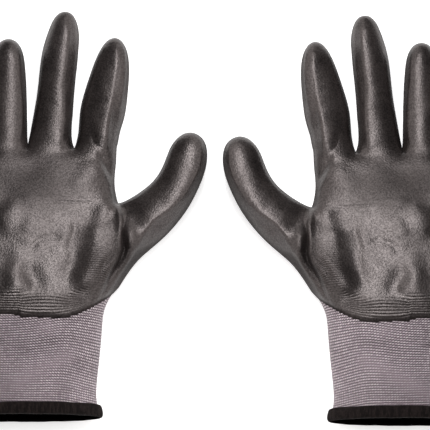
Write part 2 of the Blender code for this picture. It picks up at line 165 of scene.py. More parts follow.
# ---- thumb: x, y, z, facing from +x in degrees, half width, half thickness
THUMB = (
    (61.3, -9.8, 18.5, 18.0, 16.4, 14.4),
    (70.2, -4.0, 18.6, 42.0, 14.7, 12.9),
    (79.4, 3.4, 18.8, 46.0, 13.2, 12.0),
    (87.4, 11.8, 19.0, 53.0, 11.9, 11.4),
    (93.0, 21.4, 19.3, 62.0, 11.2, 10.8),
    (96.7, 30.8, 19.8, 72.0, 11.2, 10.2),
    (98.5, 38.8, 20.1, 78.0, 10.3, 9.3),
    (99.9, 44.6, 20.3, 80.0, 7.4, 6.8),
    (100.2, 47.2, 20.4, 80.0, 4.2, 4.0),
)
THUMB_TIP = (100.3, 48.6, 20.5)
THUMB_SIDES = 10
THUMB_SPLIT = 2  # the last ring of its lower length
THUMB_START, THUMB_STEP, THUMB_END = 60.0, 11.5, 170.0  # pattern coordinates along it

# ---- where the fingers grow from the palm
WEBS = ((-23.8, 36.0, 13.0), (1.2, 37.6, 13.2), (29.8, 37.2, 13.4))
WEB_TOP = 9.3  # half thickness of the palm at each web
WEB_SET_BACK = 2.2
WEB_STRETCH = 4.0  # the pattern is drawn out this much at a web
# shares of a finger's first station: half thickness in the middle of its base, half width and half
# thickness at the outer corners of the outer two fingers, and half width at their outer sides
BASE_RISE, BASE_CORNER, BASE_SIDE = 1.08, 0.78, 1.1
MIDDLE_SET_BACK, LITTLE_SET_BACK = 0.5, 3.0

PIECES = ("cuff", "palm", *(f"{f}_{p}" for f in (*FINGERS, "thumb") for p in ("lower", "tip")))

# ---- coating
COAT = 0.45  # how far the coating stands off the knit
COAT_TUCK = 0.45  # and how far its edge goes under
SKIRT = 0.9  # how much further off it stands a little way in from its edge
COATING_FROM, KNIT_TO = -1.4, 2.4  # how deep in the coated area each of them starts or ends
HAND_END, KNIT_END = -49.6, -55.0  # where the hand's knit sinks under the cuff's, and where it ends
CUFF_END, RIBS_END = -50.0, -52.0  # where the cuff's knit sinks, and where its relief fades
KNIT_TUCK = 0.7  # how far each of them sinks
SIDE_EDGE = 9.0  # the coating goes down the sides to this height
TIP_LENGTH = 13.0  # and right round each fingertip over this length
NEAR_FINGER = 13.0  # what is nearer than this to a finger's line belongs to that finger
THUMB_POINT, THUMB_WAY = (98.6, 50.0), (0.17, 0.985)  # the thumb's end in plan, and its direction
THUMB_FROM = 80.0  # what lies further right belongs to the thumb
UNCOATED = -99.0  # a depth for what no fingertip reaches
DIP_LINE = (  # the coating's lower edge, in plan
    (-52, -49.0),
    (-44, -53.5),
    (-32, -57.2),
    (-15, -58.1),
    (-2.4, -58.3),
    (-1.2, -59.9),
    (9.3, -59.9),
    (23.4, -60.5),
    (27.5, -60.2),
    (28.3, -59.2),
    (31.5, -58.5),
    (40.0, -54.6),
    (48.4, -49.8),
    (53.0, -46.5),
)

# ---- soft patches in plan: x, y, width, length
MOUND_KNIT, ROOT_KNIT = (46, -30, 13, 15), (60, -20, 8, 12)  # the knit shows through the coating
DULL_PALM = (3, 21, 26, 12)
WORN_CUFF = (13, -66, 7, 4)


def smooth(t):
    """An even rise from 0 at 0 to 1 at 1."""
    t = np.clip(t, 0.0, 1.0)
    return t * t * (3 - 2 * t)


# ======================================== cage
class Cage:
    """Corners and quads of one glove, with each quad's piece and each corner's pattern coordinates."""

    def __init__(self):
        self.points, self.pattern = [], []
        self.faces, self.piece = [], []

    def ring(self, points, pattern):
        start = len(self.points)
        self.points += [tuple(p) for p in points]
        self.pattern += [tuple(p) for p in pattern]
        return list(range(start, len(self.points)))

    def quad(self, low, high, side, piece):
        after = (side + 1) % len(low)
        self.faces.append((low[after], low[side], high[side], high[after]))
        self.piece.append(PIECES.index(piece))

    def band(self, low, high, piece, skip=()):
        for side in range(len(low)):
            if side not in skip:
                self.quad(low, high, side, piece)

    def cap(self, ring, point, pattern, piece):
        tip = self.ring([point], [pattern])[0]
        for side in range(len(ring)):
            self.faces.append((ring[(side + 1) % len(ring)], ring[side], tip))
            self.piece.append(PIECES.index(piece))


def rim(share, power):
    """Height of a superellipse, as a share of its half height."""
    return (1 - min(1.0, abs(share)) ** power) ** (1 / power)


def flat_section(row):
    """Thumb side, over the palm, little finger side, over the back: 20 points."""
    y, left, right, low, high, power = row
    middle, half = (left + right) / 2, (right - left) / 2 / ROW_SHRINK
    centre, rise = (low + high) / 2, (high - low) / 2

    def point(share, side):
        z = centre + side * rise * rim(share, power)
        if side < 0 and abs(share) <= FLAT_SHARE and power > FLAT_POWER:
            z = low
        return (middle + share * half, y, z)

    top = [point(c, 1) for c in reversed(COLUMNS)]
    back = [point(c, -1) for c in COLUMNS]
    return [(middle + half, y, centre), *top, (middle - half, y, centre), *back]


def flat_pattern(row):
    """Distance round from the middle of the palm or the back, and distance up the glove."""
    y, left, right, low, high, _ = row
    half, rise = (right - left) / 2, (high - low) / 2
    middle = (left + right) / 2
    edge = half + rise * EDGE_ROUND
    between = [middle + c * half * (1 + CROWNING * c * c) for c in COLUMNS]
    across = [middle + edge, *reversed(between), middle - edge, *between]
    return [(a, y) for a in across]


def oval(centre, facing, half_width, half_height, sides, along):
    """A finger's section and its pattern coordinates, from its right side over its palm side."""
    shrink = 2 / 3 + math.cos(2 * math.pi / sides) / 3  # of a ring, when it is subdivided
    points, pattern = [], []
    for i in range(sides):
        angle = 2 * math.pi * i / sides
        across = half_width / shrink * math.cos(angle)
        points.append(
            (
                centre[0] + facing[1] * across,
                centre[1] - facing[0] * across,
                centre[2] + half_height / shrink * math.sin(angle),
            )
        )
        turn = math.pi / 2 - angle if angle <= math.pi else angle - 3 * math.pi / 2
        pattern.append((centre[0] + half_width * turn, along))
    return points, pattern


def finger_point(data, along, aside):
    """A point in plan beside a finger's line, and the way that the finger faces."""
    lean = math.radians(data["lean"])
    facing = (math.sin(lean), math.cos(lean))
    x = data["root"][0] + facing[0] * along + facing[1] * aside
    y = data["root"][1] + facing[1] * along - facing[0] * aside
    return x, y, facing


def finger_section(data, station):
    along, aside, half_width, half_height, height = data["stations"][station]
    x, y, facing = finger_point(data, along, aside)
    up_the_glove = data["root"][1] + along
    return oval((x, y, height), facing, half_width, half_height, FINGER_SIDES, up_the_glove)


def thumb_section(ring):
    x, y, z, turn, half_width, half_height = THUMB[ring]
    facing = (math.cos(math.radians(turn)), math.sin(math.radians(turn)))
    along = THUMB_START + THUMB_STEP * ring
    return oval((x, y, z), facing, half_width, half_height, THUMB_SIDES, along)


def finger_bases(cage):
    """The row that the fingers grow from, in the order of a palm section."""
    tops, backs = [], []

    def add_pair(x, y, z, rise):
        tops.append((x, y, z + rise))
        backs.append((x, y, z - rise))

    for k, data in enumerate(FINGERS.values()):
        x, y = data["root"]
        _, _, half_width, half_height, z = data["stations"][0]
        corner, corner_rise = half_width * BASE_CORNER, half_height * BASE_CORNER
        if k == 0:
            add_pair(x - corner, y - LITTLE_SET_BACK, z, corner_rise)
        add_pair(x, y - MIDDLE_SET_BACK, z, half_height * BASE_RISE)
        if k < len(WEBS):
            web_x, web_y, web_z = WEBS[k]
            add_pair(web_x, web_y - WEB_SET_BACK, web_z, WEB_TOP)
        else:
            add_pair(x + corner, y, z, corner_rise)
    (x, y), first = FINGERS["little"]["root"], FINGERS["little"]["stations"][0]
    outer = (x - first[2] * BASE_SIDE, y - LITTLE_SET_BACK, first[4])
    (x, y), first = FINGERS["index"]["root"], FINGERS["index"]["stations"][0]
    inner = (x + first[2] * BASE_SIDE, y, first[4])
    points = [inner, *reversed(tops), outer, *backs]
    return cage.ring(points, [(p[0], p[1]) for p in points])


def add_fingers(cage, base):
    columns = len(COLUMNS)
    top = base[1 : columns + 1][::-1]
    back = base[columns + 2 :]
    webs = cage.ring(WEBS, [(x, y + WEB_STRETCH) for x, y, _ in WEBS])
    beside = [base[columns + 1], *webs, base[0]]
    for k, (name, data) in enumerate(FINGERS.items()):
        a, b, c = 2 * k, 2 * k + 1, 2 * k + 2
        low = [beside[k + 1], top[c], top[b], top[a], beside[k], back[a], back[b], back[c]]
        for station in range(len(data["stations"])):
            piece = f"{name}_lower" if station <= FINGER_SPLIT else f"{name}_tip"
            high = cage.ring(*finger_section(data, station))
            cage.band(low, high, "palm" if station == 0 else piece)
            low = high
        _, aside, _, _, height = data["stations"][-1]
        x, y, _ = finger_point(data, data["tip"], aside)
        cage.cap(low, (x, y, height), (x, y), f"{name}_tip")


def add_thumb(cage, rows):
    columns = len(COLUMNS)
    palm_edge = [rows[r][1] for r in THUMB_ROWS]
    back_edge = [rows[r][2 * columns + 1] for r in reversed(THUMB_ROWS)]
    low = [rows[THUMB_ROWS[0]][0], *palm_edge, rows[THUMB_ROWS[-1]][0], *back_edge]
    for ring in range(len(THUMB)):
        high = cage.ring(*thumb_section(ring))
        piece = "palm" if ring == 0 else "thumb_lower" if ring <= THUMB_SPLIT else "thumb_tip"
        cage.band(low, high, piece)
        low = high
    cage.cap(low, THUMB_TIP, (THUMB_TIP[0], THUMB_END), "thumb_tip")


def make_cage():
    cage = Cage()
    first = FIRST_HAND_ROW - 3  # the cuff's rows only steady the hand's end: make_cuff draws the cuff
    rows = {}
    for r in range(first, len(ROWS)):
        rows[r] = cage.ring(flat_section(ROWS[r]), flat_pattern(ROWS[r]))
    count = 2 * len(COLUMNS) + 2
    for r in range(first, len(ROWS) - 1):
        beside_thumb = THUMB_ROWS[0] <= r < THUMB_ROWS[-1]
        skip = (0, count - 1) if beside_thumb else ()
        cage.band(rows[r], rows[r + 1], "palm" if r >= FIRST_HAND_ROW else "cuff", skip)
    base = finger_bases(cage)
    cage.band(rows[len(ROWS) - 1], base, "palm")
    add_fingers(cage, base)
    add_thumb(cage, rows)
    return cage


def cage_object(cage):
    """The cage as a subdivided object, with each piece as a material slot."""
    mesh = bpy.data.meshes.new("cage")
    mesh.from_pydata(cage.points, [], cage.faces)
    mesh.polygons.foreach_set("material_index", cage.piece)
    for _ in PIECES:
        mesh.materials.append(None)
    layer = mesh.uv_layers.new(name="pattern")
    corners = read_values(mesh.loops, "vertex_index", 1, np.int32)[:, 0]
    layer.data.foreach_set("uv", np.array(cage.pattern, np.float32)[corners].ravel())
    obj = bpy.data.objects.new("cage", mesh)
    bpy.context.scene.collection.objects.link(obj)
    levels = obj.modifiers.new("smooth", "SUBSURF")
    levels.levels = levels.render_levels = LEVELS
    levels.uv_smooth = "SMOOTH_ALL"
    levels.boundary_smooth = "ALL"
    bpy.context.view_layer.update()
    return obj


def read_values(items, key, width, kind):
    values = np.empty(len(items) * width, kind)
    items.foreach_get(key, values)
    return values.reshape(-1, width)


def subdivided(cage):
    """(points, quads, piece of each quad, pattern coordinates) of the smooth surface."""
    obj = cage_object(cage)
    shown = obj.evaluated_get(bpy.context.evaluated_depsgraph_get())
    made = shown.to_mesh()
    points = read_values(made.vertices, "co", 3, np.float32).astype(float) * (1, LENGTHEN, 1)
    quads = read_values(made.loops, "vertex_index", 1, np.int32).reshape(-1, 4)
    piece = read_values(made.polygons, "material_index", 1, np.int32)[:, 0]
    pattern = np.empty((len(points), 2), np.float32)
    pattern[quads.ravel()] = read_values(made.uv_layers["pattern"].data, "uv", 2, np.float32)
    shown.to_mesh_clear()
    mesh = obj.data
    bpy.data.objects.remove(obj)
    bpy.data.meshes.remove(mesh)
    return points, quads, piece, pattern


def normals_of(points, quads):
    """The smooth normal at each point, from the quads round it."""
    across = points[quads[:, 2]] - points[quads[:, 0]]
    along = points[quads[:, 3]] - points[quads[:, 1]]
    face = np.cross(across, along)
    normals = np.zeros_like(points)
    for corner in range(4):
        np.add.at(normals, quads[:, corner], face)
    return normals / np.maximum(np.linalg.norm(normals, axis=1, keepdims=True), 1e-9)


# ======================================== relief
def plan_of(points):
    """Where each point is seen from the camera's side, in plan."""
    y = points[:, 1] / LENGTHEN + (points[:, 2] - PLAN_Z) * math.sin(TILT)
    return np.column_stack([points[:, 0], y])


SHARE_BLUR = 2.5  # segments this much further off still count, so the share doesn't jump at a bend


def to_line(plan, line):
    """Distance to the line (positive on the right of its direction), share along it, its length."""
    line = np.array(line, float)
    lengths = np.linalg.norm(np.diff(line, axis=0), axis=1)
    total, start = lengths.sum(), 0.0
    distances, sides, shares = [], [], []
    for a, b, length in zip(line, line[1:], lengths):
        way = (b - a) / length
        offset = plan - a
        t = np.clip(offset @ way, 0.0, length)
        gap = offset - t[:, None] * way
        distances.append(np.hypot(gap[:, 0], gap[:, 1]))
        sides.append(np.sign(offset[:, 0] * way[1] - offset[:, 1] * way[0]))
        shares.append((start + t) / total)
        start += length
    distances = np.array(distances)
    nearest = np.argmin(distances, axis=0)[None]
    best = np.take_along_axis(distances, nearest, 0)
    signed = (best * np.take_along_axis(np.array(sides), nearest, 0))[0]
    weights = np.exp(-(distances - best) / SHARE_BLUR)
    share = (weights * np.array(shares)).sum(axis=0) / weights.sum(axis=0)
    return signed, share, total


# Each fold is (line in plan, height, width on its left, width on its right). Most lines run towards
# the wrist, so that their left is the thumb's side. A negative height is a crease or a hollow.
FINGER_RIDGES = (
    # middle finger: a ridge that is steep on the thumb's side, in two lengths
    (((26, 121), (25.6, 111), (25.3, 103), (24.4, 94), (22.9, 83), (22.3, 72)), 2.3, 1.8, 8),
    (((22.4, 82), (22.9, 72), (23.1, 66), (23, 58), (22.2, 50), (20.8, 37)), 2.5, 2, 5),
    # index finger: a ridge along its thumb side, a low swell, and a ridge that crosses to the palm
    (((57.6, 108), (59.2, 98), (59.6, 88), (58.8, 78), (57, 69), (54, 60)), 3.4, 1.8, 5),
    (((55, 107), (54.6, 94), (53.2, 80), (51.4, 66)), 0.9, 6, 4),
    (((53.4, 78), (51.6, 68), (49.6, 58), (48.8, 50), (48.4, 45), (47.6, 32)), 3.2, 2.2, 7),
    # ring finger: a broad ridge
    (((-5.6, 106), (-4.8, 96), (-4, 82), (-2.4, 70), (-1.8, 61), (-2.6, 52), (-5.6, 41)), 2.2, 2, 6.5),
    # thumb: a ridge along it, and one that goes on down past the deep fold at its root
    (((104, 52), (105, 42), (104.8, 33.6), (102.6, 26), (99.6, 20), (95, 12.5)), 2.2, 2, 5),
    (((102, 26), (98, 18), (93, 10.5), (85.8, 3.8), (77, -2.2), (71, -10), (66.5, -21), (63, -34)),
     4.8, 4, 8),
)
FOLDS = (
    # creases at the index finger's root
    (((38.4, 58), (39.8, 50.7), (41.8, 43.5), (44.6, 38)), -0.8, 2.6, 6.5),
    (((46, 36.9), (46.6, 34.2)), -0.7, 1, 1.4),
    # the palm stays high as far as this line, then drops to the side of the hand
    (((41, 42), (42.4, 36), (44.4, 30.2), (47.4, 24), (50.4, 18), (52.2, 8), (52.8, -3)), 3.2, 1.8, 12),
    # across the palm: a fine ridge with a fine crease below it
    (((46, 9.9), (34, 9.3), (22, 10.3), (12, 11.3), (-2, 12)), 0.35, 0.9, 1.6),
    (((45, 8.8), (36, 8.2), (26, 8.7), (16, 9.8)), -0.35, 0.7, 0.8),
    # a swell across the fingers' roots, the slanting hollow below it, and a rise on each side of that
    (((-22, 44.5), (-8, 46), (14, 46.5), (36, 46)), 0.9, 9, 9),
    (((28, 41), (4, 27), (-13, 11), (-24, -4)), -0.8, 7.5, 8),
    (((-1, 10.5), (-9.5, 2), (-18, -7)), 0.9, 9, 5),
    (((44, 33), (36, 24), (30, 15)), 0.5, 8, 7),
    # lower half of the palm: its swells and creases
    (((7, 2), (4.4, -4), (2.4, -11.5)), 0.8, 8, 4.4),
    (((24.5, -14), (15.5, -11.6), (8.5, -14.4), (3, -21)), -0.5, 2, 1.8),
    (((29.5, 0), (30.4, -8), (27.5, -16), (24, -20)), -0.35, 2.2, 2.2),
    (((-3, -26), (3, -33), (7, -39), (9, -48)), -1.4, 6.5, 5),
    (((2, -18), (-2.4, -26), (-4, -35), (-3, -50)), 1.7, 8, 7.5),
    (((-22, -18), (-24, -32), (-20, -46)), 1.2, 6, 7),
    # the thumb's mound: its flank on the little finger's side, and the hollow beside that
    (((57, 14), (48.6, 2), (43.8, -8.9), (42, -18.7), (40.4, -28.6), (37.6, -37.8), (33.4, -50)),
     2.1, 12, 6),
    (((33, -2), (30.4, -14), (29, -28), (26, -42)), -0.6, 4.6, 4.2),
    # the mound stays high as far as the deep fold; the rim beyond the fold; a crease on the mound
    (((51.4, 14), (55, 5), (57.4, -3), (57, -9), (56.8, -14.4), (57, -19), (55, -24.5),
      (51.2, -30.5), (47.6, -38), (41, -52)), 6.4, 1.6, 13.5),
    (((58.6, 4), (61.4, -6), (63, -12), (64, -19), (62, -26), (57.6, -32), (53.4, -38), (48, -48)),
     4.8, 4, 2.6),
    (((57, -19), (51.6, -24), (47.6, -29), (44.5, -38)), -1.2, 1.6, 2.4),
    # the hollow of the thumb's web, and a crease and a rise on the thumb's root
    (((60, 8), (61.5, 1), (61, -8)), -2, 7, 3),
    (((90, -4), (83, -9.5), (76, -14)), -0.6, 3.2, 2.4),
    (((76, -15.5), (68, -22)), 0.7, 2, 2),
)
CUFF_FOLDS = (
    (((30, -66.5), (18, -70.5), (8, -69)), 1.2, 3.4, 5),
    (((34, -73), (10, -79), (-14, -86)), -0.8, 4, 5),
    (((22, -84), (4, -93), (-14, -104)), 0.9, 5, 5),
    (((32, -84), (33, -98), (34, -110)), -0.5, 5, 6),
    (((-12, -72), (-16, -78)), -1.2, 4, 4),
    (((-28, -70), (-26, -90), (-30, -108)), -0.6, 5, 6),
)
SHARP, ROUND = 1.25, 2.0  # powers of a fold's section
AT_ENDS = 0.06  # share of a fold's height that is left beyond its ends

TO_CAMERA = np.array([0.0, -math.sin(TILT), math.cos(TILT)])


def raised(plan, folds, power):
    """Height of these folds. A low power gives each one a sharp crest with long, even slopes."""
    total = np.zeros(len(plan))
    for line, height, left, right in folds:
        reach = 3 * max(left, right)
        low, high = np.min(line, axis=0) - reach, np.max(line, axis=0) + reach
        near = np.flatnonzero(((plan > low) & (plan < high)).all(axis=1))
        if not len(near):
            continue
        signed, share, length = to_line(plan[near], line)
        width = np.where(signed > 0, right, left)
        fade = min(0.42, (5 + 4 * abs(height)) / length)
        ends = smooth(share / fade) * smooth((1 - share) / fade)
        profile = np.exp(-(np.abs(signed / width) ** power))
        total[near] += height * profile * (AT_ENDS + (1 - AT_ENDS) * ends)
    return total


def shaped(points, normals):
    """The points with every fold raised or sunk on the palm side, and a soft ripple on the palm."""
    plan = plan_of(points)
    facing = smooth(normals[:, 2] * 1.6)
    lift = raised(plan, FINGER_RIDGES, SHARP) + raised(plan, FOLDS, ROUND)
    lift = lift + raised(plan, CUFF_FOLDS, ROUND)
    x, y, z = points.T
    ripple = 0.35 * np.sin(x / 5.3 + 1.7 * np.sin(y / 13.0)) * np.sin(y / 7.1 + 0.8 * np.sin(x / 9.0))
    on_palm = smooth((z - 20) / 8) * smooth((y + 62) / 10) * smooth((42 - y) / 10)
    return points + TO_CAMERA * ((lift + ripple * on_palm) * facing)[:, None]


def above_dip_line(plan):
    """How far towards the fingers from the coating's lower edge."""
    return plan[:, 1] - np.interp(plan[:, 0], *zip(*DIP_LINE))


def past_fingertips(x, y):
    """How far past the start of its fingertip's coating each point is."""
    past = np.full(len(x), UNCOATED)
    for data in FINGERS.values():
        lean = math.radians(data["lean"])
        from_x, from_y = x - data["root"][0], y - data["root"][1]
        along = from_x * math.sin(lean) + from_y * math.cos(lean)
        aside = from_x * math.cos(lean) - from_y * math.sin(lean)
        on_finger = np.abs(aside) < NEAR_FINGER
        past = np.where(on_finger, np.maximum(past, along - data["tip"] + TIP_LENGTH), past)
    along = (x - THUMB_POINT[0]) * THUMB_WAY[0] + (y - THUMB_POINT[1]) * THUMB_WAY[1]
    return np.maximum(past, np.where(x > THUMB_FROM, along + TIP_LENGTH, UNCOATED))


def coated_depth(points):
    """How far inside the coated area each point is, in millimetres, by its height round the glove."""
    x, y, z = points.T
    wave = 0.5 * np.sin(x / 3.1 + y / 4.7) + 0.4 * np.sin(y / 2.3 - x / 6.1)
    above_side = z - (SIDE_EDGE + wave)
    beyond = np.maximum(above_side, past_fingertips(x, y) + wave)
    return np.minimum(above_dip_line(plan_of(points)), beyond)


# ======================================== meshes
def mesh_from(name, points, quads, normals, pattern, extra):
    """A mesh in metres of these quads, with its pattern as a UV map and each extra as an attribute."""
    used, index = np.unique(quads, return_inverse=True)
    mesh = bpy.data.meshes.new(name)
    mesh.vertices.add(len(used))
    mesh.vertices.foreach_set("co", (points[used] * MM).astype(np.float32).ravel())
    mesh.loops.add(quads.size)
    mesh.loops.foreach_set("vertex_index", index.astype(np.int32).ravel())
    mesh.polygons.add(len(quads))
    mesh.polygons.foreach_set("loop_start", np.arange(len(quads), dtype=np.int32) * 4)
    mesh.polygons.foreach_set("loop_total", np.full(len(quads), 4, np.int32))
    layer = mesh.uv_layers.new(name="pattern")
    layer.data.foreach_set("uv", pattern[quads.ravel()].astype(np.float32).ravel())
    for key, values in extra.items():
        attribute = mesh.attributes.new(key, "FLOAT", "POINT")
        attribute.data.foreach_set("value", values[used].astype(np.float32))
    mesh.update(calc_edges=True)
    mesh.validate()
    mesh.shade_smooth()
    mesh.normals_split_custom_set_from_vertices(normals[used].tolist())
    return mesh


def side_of(values, mirrored):
    """The left-hand glove's points or normals are the right-hand one's, mirrored."""
    return values * np.array([-1.0, 1.0, 1.0]) if mirrored else values


def place(points, mirrored):
    shift = np.array([SPACING, -STAGGER, 0]) if mirrored else np.array([-SPACING, STAGGER, 0])
    return side_of(points, mirrored) + shift


def add_piece(name, side, points, quads, normals, pattern, extra, material, slot):
    """One glove's copy of a piece, put in the scene with its material."""
    mirrored = side == "left"
    if mirrored:
        quads = quads[:, ::-1]
    mesh = mesh_from(
        f"{side}_{name}", place(points, mirrored), quads, side_of(normals, mirrored), pattern, extra
    )
    mesh.materials.append(material)
    obj = bpy.data.objects.new(f"{side}_{name}", mesh)
    bpy.context.scene.collection.objects.link(obj)
    return obj


def coating_offset(depth):
    """How far the coating stands off the surface: thick near its edge, and under the knit past it."""
    skirt = SKIRT * smooth(depth / 5.0) * (1 - smooth((depth - 5) / 30))
    return COAT * smooth(depth / 1.0) + skirt - COAT_TUCK * smooth(-depth / 0.9)


def patch(plan, x, y, width, length):
    """A soft round patch, 1 at its middle."""
    return np.exp(-(((plan[:, 0] - x) / width) ** 2 + ((plan[:, 1] - y) / length) ** 2))


def through_mask(plan, above_dip):
    """How clearly the knit shows through the coating, from 0 to 1."""
    mound, root = patch(plan, *MOUND_KNIT), patch(plan, *ROOT_KNIT)
    return np.clip(mound + 0.6 * root + 0.25 * smooth(1 - above_dip / 9), 0, 1)


def dullness(plan, normals, depth):
    """Where the coating shines less: at its thin edge, on upright sides, and on a patch of the palm."""
    edge = 1 - smooth((depth - 0.4) / 3.2)
    upright = 0.85 * smooth((0.55 - normals[:, 2]) / 0.5)
    return np.maximum(np.maximum(edge, upright), 0.42 * patch(plan, *DULL_PALM))


def edge_rows(plan, above_dip):
    """Rows of knit that show as nested ridges just above the coating's lower edge."""
    height = smooth((above_dip - 2) / 12)
    bow = (-0.0076 + 0.0176 * height) * np.clip(plan[:, 0] - 12, -14, 40) ** 2
    band = smooth((above_dip - 1.2) / 2.0) * smooth((17 - above_dip) / 6)
    band *= smooth((plan[:, 0] + 22) / 12) * smooth((44 - plan[:, 0]) / 10)
    return {"edge_rows": plan[:, 1] + bow, "edge_band": band}


def make_glove_parts():
    """Every curved piece of one glove: name, points, quads, normals, pattern, attributes, kind."""
    points, quads, piece, pattern = subdivided(make_cage())
    points = shaped(points, normals_of(points, quads))
    normals = normals_of(points, quads)
    depth, plan = coated_depth(points), plan_of(points)
    above_dip = above_dip_line(plan)
    extra = {
        "through": through_mask(plan, above_dip),
        "dull": dullness(plan, normals, depth),
        **edge_rows(plan, above_dip),
    }
    sunk = KNIT_TUCK * smooth((HAND_END - points[:, 1]) / 2.0)
    bare = (depth < KNIT_TO) & (points[:, 1] > KNIT_END)
    skins = (
        ("coating", points + normals * coating_offset(depth)[:, None], depth > COATING_FROM),
        ("knit", points - normals * sunk[:, None], bare),
    )
    parts = []
    for kind, moved, keep in skins:
        skin_normals = normals_of(moved, quads)
        wanted = keep[quads].any(axis=1)
        for index, name in enumerate(PIECES):
            chosen = quads[wanted & (piece == index)]
            if name != "cuff" and len(chosen):
                parts.append((f"{name}_{kind}", moved, chosen, skin_normals, pattern, extra, kind))
    return parts


# ---- the cuff and its hem, on the same surface as the hand
def basis(at, count, closed):
    """Weights of a cubic spline's control points at each position."""
    weights = np.zeros((len(at), count))
    cell = np.floor(at).astype(int)
    t = at - cell
    shares = ((1 - t) ** 3, 3 * t**3 - 6 * t**2 + 4, -3 * t**3 + 3 * t**2 + 3 * t + 1, t**3)
    for k, share in enumerate(shares):
        index = (cell + k - 1) % count if closed else cell + k - 1
        np.add.at(weights, (np.arange(len(at)), index), share / 6)
    return weights


SECTIONS = np.array([flat_section(r) for r in ROWS])


def tube(heights, columns):
    """Points of the surface at these heights, (heights, columns, 3), and the distance round it."""
    rows = np.linspace(1.0, THUMB_ROWS[0], 400)  # from the second row as far as the thumb
    centre_y = basis(rows, len(ROWS), False) @ SECTIONS[:, 0, 1]
    along = basis(np.interp(heights, centre_y, rows), len(ROWS), False)
    count = SECTIONS.shape[1]
    turns = np.linspace(0, count, 801)
    loop = basis(turns, count, True) @ SECTIONS[EVEN_ROW]
    length = np.concatenate([[0], np.cumsum(np.linalg.norm(np.diff(loop, axis=0), axis=1))])
    at = np.interp(np.linspace(0, length[-1], columns, endpoint=False), length, turns)
    around = basis(at, count, True)
    grid = np.einsum("vr,rcx,uc->vux", along, SECTIONS, around)
    return grid * (1, LENGTHEN, 1), length[-1]


def tube_quads(rows, columns, closed=False):
    """Quads of a tube of rows and columns. A closed one joins its last row to its first."""
    i, j = np.meshgrid(np.arange(rows if closed else rows - 1), np.arange(columns), indexing="ij")
    a, b = i * columns + j, i * columns + (j + 1) % columns
    c, d = (i + 1) % rows * columns + (j + 1) % columns, (i + 1) % rows * columns + j
    return np.stack([b, a, d, c], axis=-1).reshape(-1, 4)


COURSE = 1.45  # from one row of stitches to the next
RIB = 0.3  # height of a row of stitches
CUFF_LOW, CUFF_HIGH = -118.5, -46.9
CUFF_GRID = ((300, 320))


def course_of(points):
    """Distance up the cuff, counted along its rows of stitches, which rise and fall across it."""
    x, y = points[:, 0], points[:, 1]
    upper = smooth((y + 108) / 46)
    rising = 4.4 * smooth((x + 6) / 36) * upper
    falling = smooth((x - 22) / 26) * (3.6 - 2.6 * upper)
    far = 3.0 * smooth((-x - 24) / 24)
    wander = 0.2 * np.sin(x / 11.0 + y / 9.0) + 0.12 * np.sin(x / 5.1 - y / 14.0)
    return y - rising + falling + far + wander


def worn_smooth(plan):
    """Where the rows of stitches blur: a slanting band, and a patch below the coating."""
    away, _, _ = to_line(plan, ((-22.0, -106.0), (-2.0, -98.0), (12.0, -89.0), (26.0, -83.0)))
    return np.clip(np.exp(-((away / 5.0) ** 2)) + 0.8 * patch(plan, *WORN_CUFF), 0, 1)


def make_cuff():
    """The knit cuff, with its rows of stitches as relief and its upper end sunk under the hand's."""
    rows, columns = CUFF_GRID
    grid, around = tube(np.linspace(CUFF_LOW, CUFF_HIGH, rows), columns)
    points, quads = grid.reshape(-1, 3), tube_quads(rows, columns)
    points = shaped(points, normals_of(points, quads))
    normals = normals_of(points, quads)
    course = course_of(points)
    rib = -0.5 * np.cos(2 * np.pi * course / COURSE)
    hidden = smooth(coated_depth(points) / 1.6)
    sunk = KNIT_TUCK * np.maximum(smooth((points[:, 1] - CUFF_END) / 2.0), hidden)
    fading = (1 - smooth((points[:, 1] - RIBS_END) / 2.5)) * (1 - hidden)
    worn = 1 - 0.7 * worn_smooth(plan_of(points))
    points = points + normals * (RIB * rib * fading * worn - sunk)[:, None]
    along = np.tile(np.linspace(0, around, columns, endpoint=False), rows)
    pattern = np.column_stack([along, course])
    extra = {"worn": (1 - worn) * (normals[:, 2] > 0)}
    return "cuff_knit", points, quads, normals_of(points, quads), pattern, extra, "cuff"


HEM_LOW, HEM_HIGH = -120.6, -113.3
HEM_HALF = 2.0  # half the hem's thickness
HEM_OUT = 0.3  # its middle stands this far off the surface
HEM_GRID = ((1860, 22))
WRAP = 0.78  # from one thread of the overlock to the next
GROUND_GAP = 0.1


def hem_section(sides):
    """A rounded oblong: out from the knit in millimetres, and up as shares of half its width."""
    turn = 2 * math.pi * np.arange(sides) / sides
    out = HEM_HALF * np.sign(np.cos(turn)) * np.abs(np.cos(turn)) ** 0.75
    up = np.sign(np.sin(turn)) * np.abs(np.sin(turn)) ** 0.62
    return out, up


